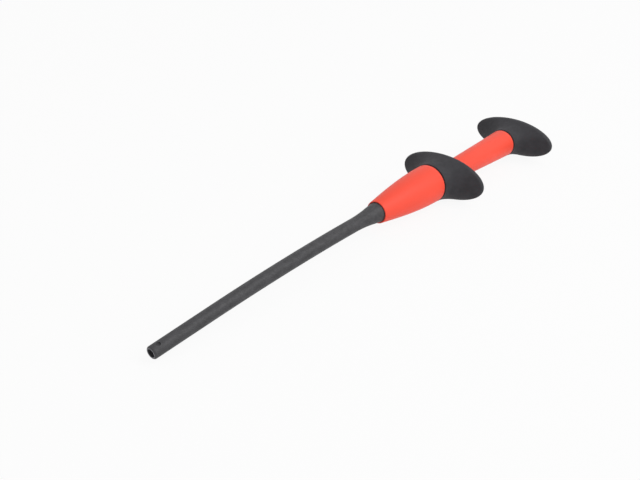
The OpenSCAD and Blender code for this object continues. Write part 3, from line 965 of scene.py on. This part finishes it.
class CLIP_OT_spring(bpy.types.Operator):
    """Model the return spring: a wire wound turn by turn, with its end turns closed"""

    bl_idname = "clip.spring"
    bl_label = "Return spring"

    def execute(self, context):
        clip = context.scene.clip
        front, rear, outer_r = span("return_spring")
        wire_r = clip.inner.wire_d / 2
        turns = clip.inner.turns
        wire_sides = 12
        turn_steps = 24
        wire = lying(AXIS_Z, wire_r, x=FRONT_X + front + wire_r, y=outer_r - wire_r)
        piece = start_ring("spring_coil", wire, wire_sides, filled=True)
        closed_pitch = clip.inner.wire_d
        open_pitch = (rear - front - 2 * wire_r - 2 * closed_pitch) / (turns - 2)
        for k in range(turns * turn_steps):
            pitch = open_pitch if turn_steps <= k < (turns - 1) * turn_steps else closed_pitch
            extrude((pitch / turn_steps, 0.0, 0.0))
            rotate(2 * math.pi / turn_steps, "X", (FRONT_X, 0.0, AXIS_Z))
        close_mesh()
        dress(clip, piece, "housing", "steel", "return_spring")
        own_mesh(piece)
        return {"FINISHED"}


class CLIP_OT_socket(bpy.types.Operator):
    """Model the rear socket: a turned contact with a collar and a sleeve, in an insulating post"""

    bl_idname = "clip.socket"
    bl_label = "Plug socket"

    def execute(self, context):
        clip = context.scene.clip
        fit = clip.body.fit
        inner = clip.inner
        edge = inner.edge
        front, mouth, collar_r = span("socket_contact")
        web_rear = span("contact_nut")[1] + clip.body.web
        collar_rear = web_rear + inner.contact_collar
        bore_r = inner.socket_d / 2
        sleeve_r = bore_r + inner.contact_wall
        tail_r = inner.contact_tail_d / 2
        rod_r = span("drive_rod")[2] + fit
        floor = mouth - inner.socket_depth
        rod_floor = front + inner.rod_depth
        centre_r = fit
        contact = turned("contact_sleeve", [
            (front, rod_r), (front, tail_r, edge), (web_rear, tail_r),
            (web_rear, collar_r, edge), (collar_rear, collar_r, edge), (collar_rear, sleeve_r),
            (mouth, sleeve_r, edge), (mouth, bore_r, edge), (floor, bore_r),
            (floor, centre_r), (rod_floor, centre_r), (rod_floor, rod_r),
        ])
        post_front, post_rear, post_r = span("socket_insulator")
        lip_r = bore_r + inner.run_gap
        post = turned("socket_post", [
            (post_front, sleeve_r + fit), (post_front, post_r, edge), (post_rear, post_r, edge),
            (post_rear, lip_r, edge), (mouth, lip_r), (mouth, sleeve_r + fit),
        ])
        dress(clip, contact, "plunger", "brass", "socket_contact")
        dress(clip, post, "plunger", "black_plastic", "socket_insulator")
        return {"FINISHED"}


class CLIP_OT_nut(bpy.types.Operator):
    """Model the hexagon nut that holds the contact"""

    bl_idname = "clip.nut"
    bl_label = "Contact nut"

    def execute(self, context):
        clip = context.scene.clip
        edge = clip.inner.edge
        low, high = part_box("contact_nut")
        front, rear, _ = span("contact_nut")
        corner_r = max(high.y - low.y, high.z - low.z) / 2
        hole_r = clip.inner.contact_tail_d / 2 + clip.body.fit
        ends = chamfered(front, rear, corner_r, edge)
        piece = bar("contact_hex_nut", [on_axis(*end) for end in ends], HEXAGON)
        cut(piece, bar("drill", [on_axis(station, hole_r) for station in (front - edge, rear + edge)]))
        dress(clip, piece, "plunger", "brass", "contact_nut")
        return {"FINISHED"}


class CLIP_OT_drive(bpy.types.Operator):
    """Model the rod that the plunger pushes and the crimp that joins it to the cable"""

    bl_idname = "clip.drive"
    bl_label = "Drive rod and crimp"

    def execute(self, context):
        clip = context.scene.clip
        inner = clip.inner
        edge = inner.edge
        front, rear, rod_r = span("drive_rod")
        rod = bar("drive_rod_pin", [on_axis(*end) for end in chamfered(front, rear, rod_r, edge)])
        crimp_front, crimp_rear, crimp_r = span("rod_crimp")
        middle = (crimp_front + crimp_rear) / 2
        dents = [(station + shift * inner.dent, crimp_r - depth)
                 for station in ((crimp_front + middle) / 2, (middle + crimp_rear) / 2)
                 for shift, depth in ((-1, 0.0), (0, edge), (1, 0.0))]
        cable_r = inner.cable_d / 2 + clip.body.fit
        hole_r = rod_r + clip.body.fit
        crimp = turned("crimp_sleeve", [
            (crimp_front, cable_r), (crimp_front, crimp_r, edge), *dents, (crimp_rear, crimp_r, edge),
            (crimp_rear, hole_r), (middle, hole_r), (middle, cable_r),
        ])
        dress(clip, rod, "plunger", "steel", "drive_rod")
        dress(clip, crimp, "plunger", "brass", "rod_crimp")
        return {"FINISHED"}


class CLIP_OT_cable(bpy.types.Operator):
    """Model the stranded cable in two lengths: one follows the plunger, the other follows the jaws"""

    bl_idname = "clip.cable"
    bl_label = "Drive cable"

    def execute(self, context):
        clip = context.scene.clip
        split = clip.inner.cable_split
        rear = FRONT_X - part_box("drive_cable")[1].x
        front = clip.shaft.length - ferrule_ends(clip.jaws)[1] + clip.jaws.cable_grip
        back_half = self.strands("cable_rear", clip, rear, split)
        front_half = self.strands("cable_front", clip, split, front)
        dress(clip, back_half, "plunger", "steel", "drive_cable")
        dress(clip, front_half, "jaw_carrier", "steel", "drive_cable")
        return {"FINISHED"}

    def strands(self, name, clip, start, end):
        """One length of cable: strands laid round each other, with a valley between each two."""
        strand_count = 6
        strand_sides = 3
        valley = 0.8
        ring_step = 1.2 * MM
        count = round((end - start) / ring_step)
        radius = clip.inner.cable_d / 2
        rings = [on_course(clip.shaft, reach, radius) for reach in steps(start, end, count)]
        piece = start_ring(name, rings[0], strand_count * strand_sides, filled=True)
        pick(piece, lambda vertex: vertex.index % strand_sides == 0)
        resize((valley, valley, valley), rings[0].centre)
        bpy.ops.mesh.select_all(action="SELECT")
        sweep(rings, twist=2 * math.pi * (end - start) / count / clip.inner.cable_lay)
        return piece


class CLIP_OT_ferrule(bpy.types.Operator):
    """Model the ferrule that carries the jaws: a pin with a slot in front and the cable's hole behind"""

    bl_idname = "clip.ferrule"
    bl_label = "Jaw ferrule"

    def execute(self, context):
        clip = context.scene.clip
        shaft = clip.shaft
        jaws = clip.jaws
        inner = clip.inner
        edge = inner.edge
        front, rear = ferrule_ends(jaws)
        ends = chamfered(front, rear, jaws.ferrule_d / 2, edge)
        piece = bar("ferrule_pin", [behind_mouth(shaft, *end) for end in ends])
        hole_r = inner.cable_d / 2 + clip.body.fit
        hole = [behind_mouth(shaft, back, hole_r) for back in (rear - jaws.cable_grip, rear + edge)]
        cut(piece, bar("drill", hole))
        slot_half_w = jaws.width / 2 + inner.run_gap
        slot_half_h = jaws.gap / 2 + jaws.thickness + jaws.thickness / 2 + inner.run_gap
        slot_end = front + jaws.pivot_inset + jaws.thickness
        slot = [behind_mouth(shaft, back, slot_half_w, slot_half_h) for back in (front - edge, slot_end)]
        cut(piece, bar("slot", slot, SQUARE))
        dress(clip, piece, "jaw_carrier", "brass", "jaw_ferrule")
        return {"FINISHED"}


class CLIP_OT_jaws(bpy.types.Operator):
    """Model the two spring jaws: strips with a round eye and a claw bent in to a sharp point"""

    bl_idname = "clip.jaws"
    bl_label = "Jaws"

    # Places along the claw from its root to behind its point, as shares of its length, hollow and width
    CLAW_SHARES = (
        (1.0, 0.0, 1.0), (0.73, 1.0, 1.0), (0.5, 1.0, 0.9), (0.27, 1.0, 0.65), (0.14, 0.4, 0.4),
    )

    def execute(self, context):
        clip = context.scene.clip
        for node, name, side in (("upper_jaw", "jaw_upper", 1), ("lower_jaw", "jaw_lower", -1)):
            dress(clip, self.jaw(clip, name, side), node, "steel", node)
        return {"FINISHED"}

    def jaw(self, clip, name, side):
        """One jaw above or below the middle of the shaft, from its eye to its point."""
        jaws = clip.jaws
        half_w = jaws.width / 2
        half_t = jaws.thickness / 2
        half_point = jaws.point / 2
        pivot = jaws.recess + jaws.length
        low = jaws.gap / 2
        high = low + jaws.thickness
        eye_start = math.radians(15)
        eye_steps = 3
        eye = [(pivot + half_t * math.cos(turn), low + half_t * (1 - math.sin(turn)),
                low + half_t * (1 + math.sin(turn)), half_w)
               for turn in steps(eye_start, QUARTER, eye_steps)]
        bulge = jaws.bulge
        backs = (high, high + bulge / 2, high + bulge, high - bulge, high - jaws.thickness / 3)
        claw = [(jaws.recess + along * jaws.claw, low + hollow * jaws.claw_rise, back, wide * half_w)
                for (along, hollow, wide), back in zip(self.CLAW_SHARES, backs)]
        point = (jaws.recess, low / 2, low / 2 + half_point, half_point)
        piece = bar(name, [
            behind_mouth(clip.shaft, back, wide, (top - bottom) / 2, up=side * (bottom + top) / 2)
            for back, bottom, top, wide in [*eye, *claw, point]
        ], SQUARE)
        soften(piece, jaws.edge)
        return piece


class CLIP_OT_stage(bpy.types.Operator):
    """Set the pale floor, the white surroundings, two soft lamps on the near side and the camera"""

    bl_idname = "clip.stage"
    bl_label = "Stage"

    def execute(self, context):
        stage = context.scene.clip.stage
        context.scene.view_settings.view_transform = "Standard"
        self.floor(stage)
        self.surroundings(context.scene, stage)
        self.lamp(context.scene, "key_lamp", stage.key, stage.lamp_size, stage.key_place)
        self.lamp(context.scene, "fill_lamp", stage.fill, stage.lamp_size, stage.fill_place)
        self.camera(context.scene, stage)
        return {"FINISHED"}

    def seen(self, tree):
        """One for rays from the camera, from glossy surfaces and through clear ones."""
        path = tree.nodes.new("ShaderNodeLightPath").outputs
        total = path["Is Camera Ray"]
        for other in ("Is Glossy Ray", "Is Transmission Ray"):
            node = add_node(tree, "ShaderNodeMath", total, path[other])
            node.operation = "MAXIMUM"
            total = node.outputs["Value"]
        return total

    def mix(self, tree, share, lit, white, output):
        """Lead a lit shader and a share of plain white to a tree's output."""
        node = add_node(tree, "ShaderNodeMixShader", share, lit.outputs[0], white.outputs[0])
        tree.links.new(node.outputs["Shader"], tree.nodes[output].inputs["Surface"])

    def floor(self, stage):
        """A plain pale floor under the finger flange, level along the clip."""
        deselect()
        bpy.ops.mesh.primitive_plane_add(
            size=stage.floor_size, location=(0.0, 0.0, CAD_BOX[0].z - stage.floor_room),
            rotation=(-stage.floor_tilt, 0.0, 0.0))
        floor = bpy.context.object
        floor.name = "floor"
        material = bpy.data.materials.new("floor_paper")
        material.use_nodes = True
        tree = material.node_tree
        tree.nodes.remove(tree.nodes["Principled BSDF"])
        paper = add_node(tree, "ShaderNodeBsdfDiffuse", Color=(*stage.floor_colour, 1.0))
        white = add_node(tree, "ShaderNodeEmission", Color=WHITE)
        share = add_node(tree, "ShaderNodeMath", self.seen(tree), stage.floor_white)
        share.operation = "MULTIPLY"
        self.mix(tree, share.outputs["Value"], paper, white, "Material Output")
        floor.data.materials.append(material)

    def surroundings(self, scene, stage):
        """White all round for the camera and for reflections, softer as light."""
        world = bpy.data.worlds.new("white_tent")
        scene.world = world
        world.use_nodes = True
        tree = world.node_tree
        light = tree.nodes["Background"]
        light.inputs["Color"].default_value = WHITE
        light.inputs["Strength"].default_value = stage.ambient
        white = add_node(tree, "ShaderNodeBackground", Color=WHITE)
        self.mix(tree, self.seen(tree), light, white, "World Output")

    def lamp(self, scene, name, power, size, place):
        """A square soft lamp that faces the clip."""
        data = bpy.data.lights.new(name, "AREA")
        data.energy = power
        data.size = size
        lamp = bpy.data.objects.new(name, data)
        lamp.location = place
        lamp.rotation_euler = (-Vector(place)).to_track_quat("-Z", "Y").to_euler()
        scene.collection.objects.link(lamp)

    def camera(self, scene, stage):
        """The camera on its line of sight."""
        data = bpy.data.cameras.new("camera")
        data.lens = stage.lens
        data.sensor_width = stage.sensor
        data.clip_start = stage.nearest
        camera = bpy.data.objects.new("camera", data)
        camera.matrix_world = (Matrix.Translation(stage.aim)
                               @ Matrix.Rotation(-stage.azimuth, 4, "Z")
                               @ Matrix.Rotation(QUARTER - stage.elevation, 4, "X")
                               @ Matrix.Rotation(stage.roll, 4, "Z")
                               @ Matrix.Translation((0.0, 0.0, stage.distance)))
        scene.collection.objects.link(camera)
        scene.camera = camera


class CLIP_PT_panel(bpy.types.Panel):
    """List the clip's pieces and settings"""

    bl_idname = "CLIP_PT_panel"
    bl_label = "Plunger test clip"
    bl_space_type = "VIEW_3D"
    bl_region_type = "UI"
    bl_category = "Test clip"

    def draw(self, context):
        clip = context.scene.clip
        for operator in OPERATORS:
            self.layout.operator(operator.bl_idname)
        for group in ClipSettings.__annotations__:
            box = self.layout.box()
            box.label(text=group.capitalize())
            settings = getattr(clip, group)
            for key in settings.__annotations__:
                box.prop(settings, key)


GROUPS = (ShaftSizes, BodySizes, GripSizes, InnerSizes, JawSizes, ClipColours, StageSettings, ClipSettings)
OPERATORS = (
    CLIP_OT_stage, CLIP_OT_shaft, CLIP_OT_barrel, CLIP_OT_grips, CLIP_OT_plunger, CLIP_OT_cores,
    CLIP_OT_rings, CLIP_OT_spring, CLIP_OT_socket, CLIP_OT_nut, CLIP_OT_drive, CLIP_OT_cable,
    CLIP_OT_ferrule, CLIP_OT_jaws,
)


def register():
    """Register the settings, the operators and the panel."""
    for cls in (*GROUPS, *OPERATORS, CLIP_PT_panel):
        bpy.utils.register_class(cls)
    bpy.types.Scene.clip = bpy.props.PointerProperty(type=ClipSettings)


def unregister():
    """Undo what register does."""
    del bpy.types.Scene.clip
    for cls in reversed((*GROUPS, *OPERATORS, CLIP_PT_panel)):
        bpy.utils.unregister_class(cls)


def main():
    """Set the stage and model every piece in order."""
    register()
    bpy.ops.clip.stage()
    bpy.ops.clip.shaft()
    bpy.ops.clip.barrel()
    bpy.ops.clip.grips()
    bpy.ops.clip.plunger()
    bpy.ops.clip.cores()
    bpy.ops.clip.rings()
    bpy.ops.clip.spring()
    bpy.ops.clip.socket()
    bpy.ops.clip.nut()
    bpy.ops.clip.drive()
    bpy.ops.clip.cable()
    bpy.ops.clip.ferrule()
    bpy.ops.clip.jaws()
    deselect()


if __name__ == "__main__":
    main()
